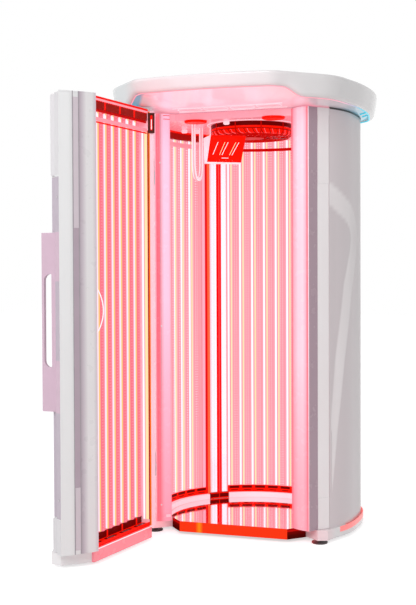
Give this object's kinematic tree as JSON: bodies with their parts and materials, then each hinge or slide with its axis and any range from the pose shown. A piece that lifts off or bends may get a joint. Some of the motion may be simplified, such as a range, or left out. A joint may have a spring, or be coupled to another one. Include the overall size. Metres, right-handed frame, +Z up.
{
  "type": "stand-up red light therapy booth",
  "caption": "Round stand-up light therapy cabin with an overhanging canopy, red lamp tubes all round, a ceiling fan, a grab handle and a hinged lamp door that stands open.",
  "frame": {"origin": "on the floor, under the middle foot, midway between the sides", "axes": "+X to the right as seen from the front, +Y to the back, +Z up; the doorway faces -Y"},
  "size_m": [1.304, 1.8699, 2.25],
  "materials": {
    "white_gloss": "gloss",
    "grey_satin": "satin",
    "aluminium": "bright rolled",
    "steel": "zinc plated",
    "mirror": "polished",
    "lamp": "frosted",
    "blue_light": "diffusing",
    "red_plastic": "semi-gloss",
    "black_rubber": "matte",
    "dark_plastic": "matte",
    "screen": "gloss"
  },
  "bodies": {
    "cabin": {"back_cover": "white_gloss", "back_kick_rail": "white_gloss", "back_lamp_bank": "lamp", "back_reflector": "aluminium", "base_ring": "white_gloss", "blue_light_strip": "blue_light", "canopy_shell": "white_gloss", "ceiling_plate": "white_gloss", "ceiling_speaker_left": "red_plastic", "ceiling_speaker_right": "red_plastic", "control_panel_housing": "white_gloss", "control_screen": "screen", "fan_guard": "red_plastic", "fan_motor": "dark_plastic", "foot_centre": "black_rubber", "foot_front_left": "black_rubber", "foot_front_right": "black_rubber", "foot_rear_left": "black_rubber", "foot_rear_right": "black_rubber", "hanging_grab_handle": "white_gloss", "header_fascia": "white_gloss", "lamp_driver_box": "aluminium", "left_back_column": "mirror", "left_corner_strip": "white_gloss", "left_door_post": "white_gloss", "left_kick_rail": "white_gloss", "left_lamp_bank": "lamp", "left_reflector": "aluminium", "left_side_cover": "white_gloss", "lower_hinge_pin": "steel", "lower_hinge_post_leaf": "steel", "platform": "mirror", "power_inlet": "dark_plastic", "right_back_column": "mirror", "right_corner_strip": "white_gloss", "right_door_post": "white_gloss", "right_kick_rail": "white_gloss", "right_lamp_bank": "lamp", "right_reflector": "aluminium", "right_side_cover": "white_gloss", "upper_hinge_pin": "steel", "upper_hinge_post_leaf": "steel"},
    "door": {"door_free_stile": "white_gloss", "door_handle": "white_gloss", "door_hinge_stile": "white_gloss", "door_inner_pull": "white_gloss", "door_kick_plate": "white_gloss", "door_lamp_bank": "lamp", "door_lower_seal_strip": "grey_satin", "door_outer_cover": "white_gloss", "door_plinth": "white_gloss", "door_reflector": "aluminium", "door_top_rail": "white_gloss", "door_upper_seal_strip": "grey_satin", "lower_hinge_door_leaf": "steel", "upper_hinge_door_leaf": "steel"},
    "fan_rotor": {"fan_rotor": "red_plastic"},
    "control_key_1": {"control_key_1": "white_gloss"},
    "control_key_2": {"control_key_2": "white_gloss"},
    "control_key_3": {"control_key_3": "white_gloss"}
  },
  "joints": [
    {"name": "door_swing", "type": "hinge", "parent": "cabin", "child": "door", "pos_m": [-0.4, -0.2945, 1.1], "axis": [0, 0, 1], "range_deg": [-15, 94.5]},
    {"name": "fan_spin", "type": "hinge", "parent": "cabin", "child": "fan_rotor", "pos_m": [0, 0.085, 2.074], "axis": [0, 0, 1], "continuous": true},
    {"name": "control_key_1_press", "type": "slide", "parent": "cabin", "child": "control_key_1", "axis": [-0.4757, 0.6793, 0.5587], "range_m": [0, 0.0015], "stiffness_N_per_m": 800},
    {"name": "control_key_2_press", "type": "slide", "parent": "cabin", "child": "control_key_2", "axis": [-0.4757, 0.6793, 0.5587], "range_m": [0, 0.0015], "stiffness_N_per_m": 800},
    {"name": "control_key_3_press", "type": "slide", "parent": "cabin", "child": "control_key_3", "axis": [-0.4757, 0.6793, 0.5587], "range_m": [0, 0.0015], "stiffness_N_per_m": 800}
  ]
}
